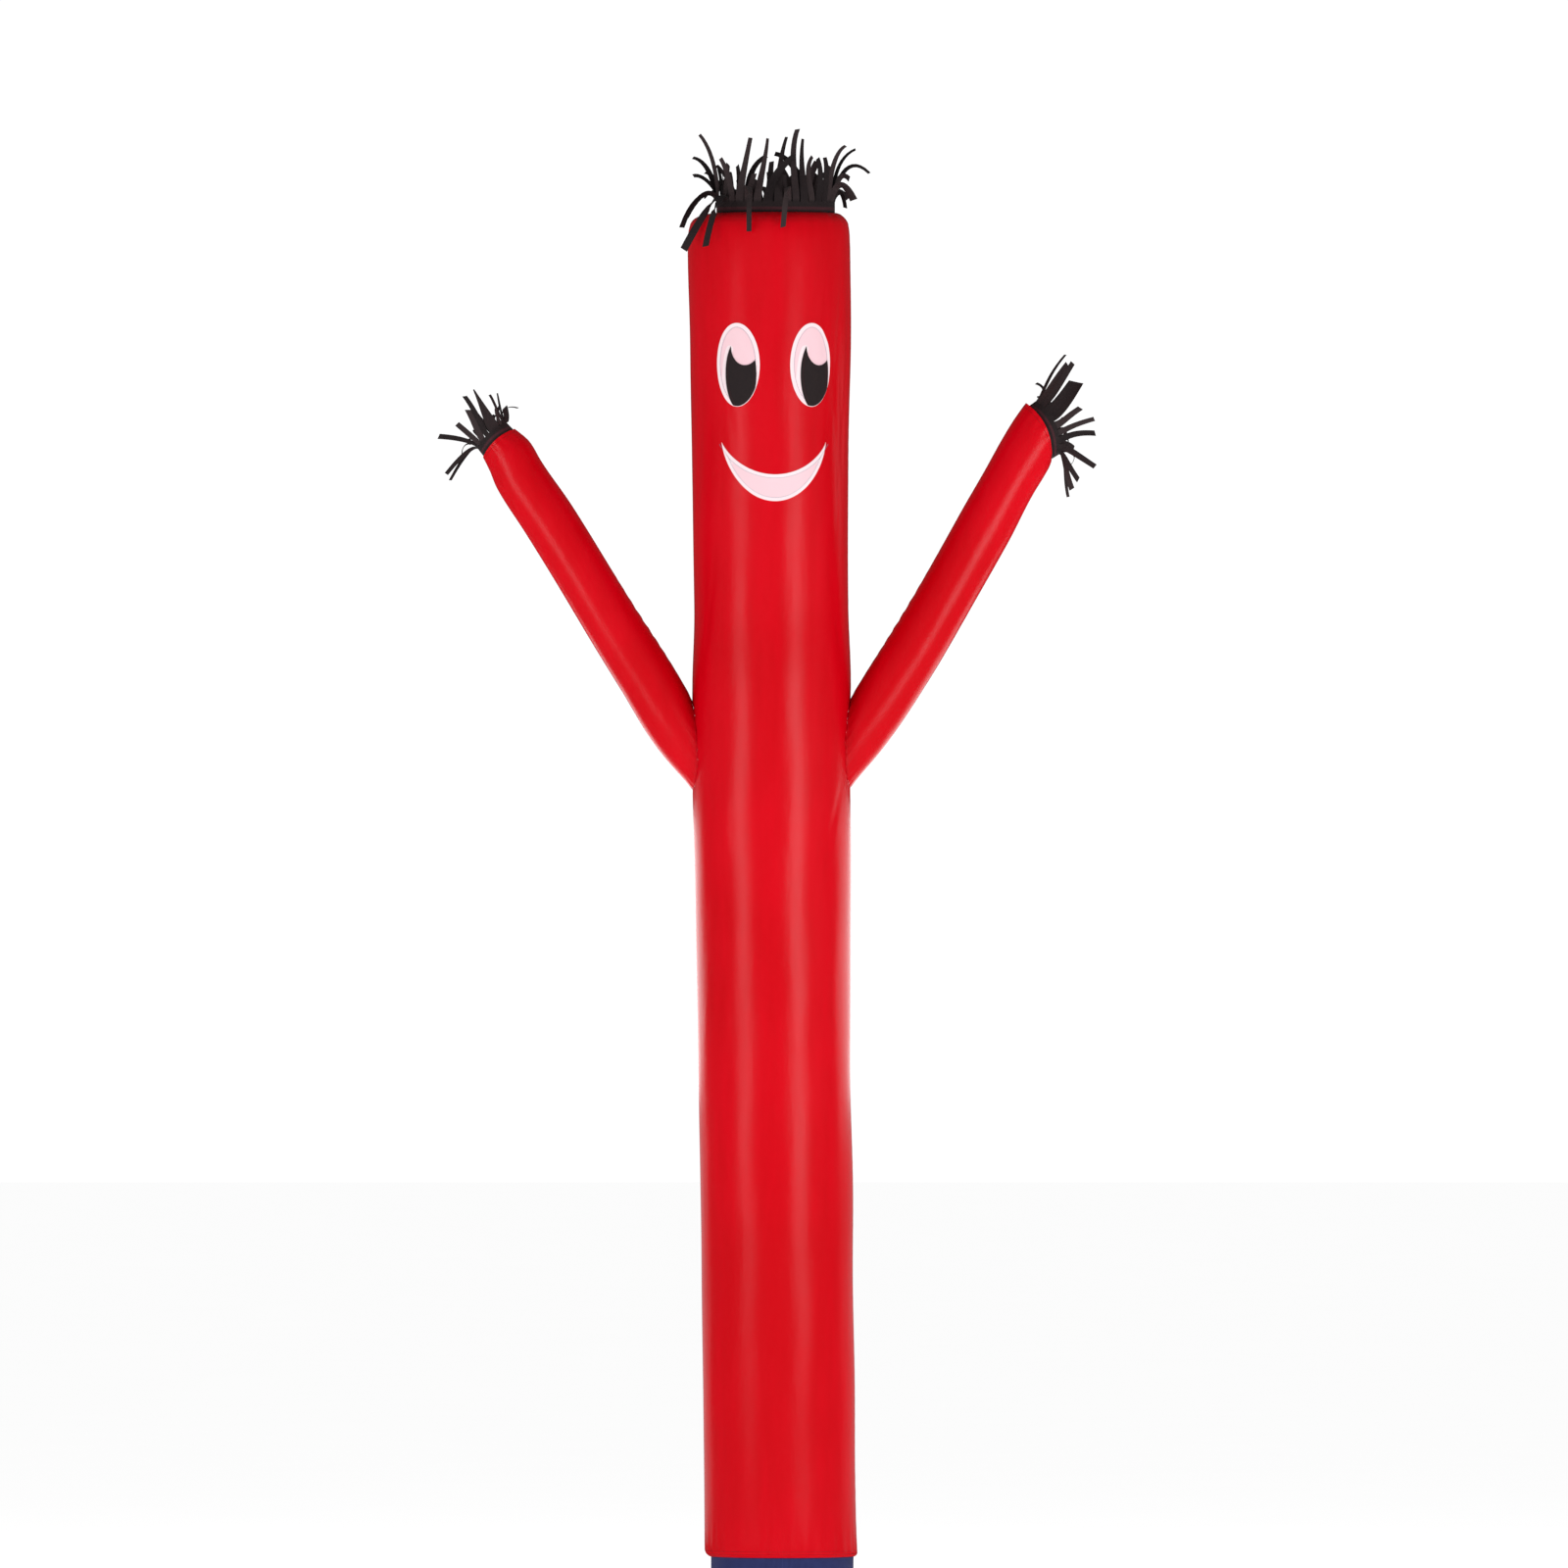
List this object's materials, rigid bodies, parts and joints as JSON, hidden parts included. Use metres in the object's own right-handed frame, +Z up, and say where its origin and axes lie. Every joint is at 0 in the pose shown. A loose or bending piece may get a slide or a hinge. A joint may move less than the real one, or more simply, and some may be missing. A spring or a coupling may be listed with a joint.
{
  "type": "inflatable air dancer",
  "caption": "Tall blown-up cloth tube figure with two raised arms, a navy cuff at the hem, cut black fringes at head and hands, and a sewn-on smiling face.",
  "frame": {"origin": "on the ground, under the middle of the whole figure's box", "axes": "+Z up along the tube, +X to the viewer's right, the face towards -Y"},
  "size_m": [1.384, 0.3572, 3.0487],
  "materials": {
    "red_nylon": "satin coated nylon, red",
    "navy_webbing": "woven band, navy",
    "black_cloth": "matt cloth, black",
    "white_cloth": "matt cloth, pinkish white"
  },
  "bodies": {
    "root": {"body_tube": "red_nylon", "arm_left": "red_nylon", "arm_right": "red_nylon", "base_cuff": "navy_webbing", "hair_fringe": "black_cloth", "hand_fringe_left": "black_cloth", "hand_fringe_right": "black_cloth", "eye_white_left": "white_cloth", "eye_white_right": "white_cloth", "pupil_left": "black_cloth", "pupil_right": "black_cloth", "smile": "white_cloth"}
  },
  "joints": []
}
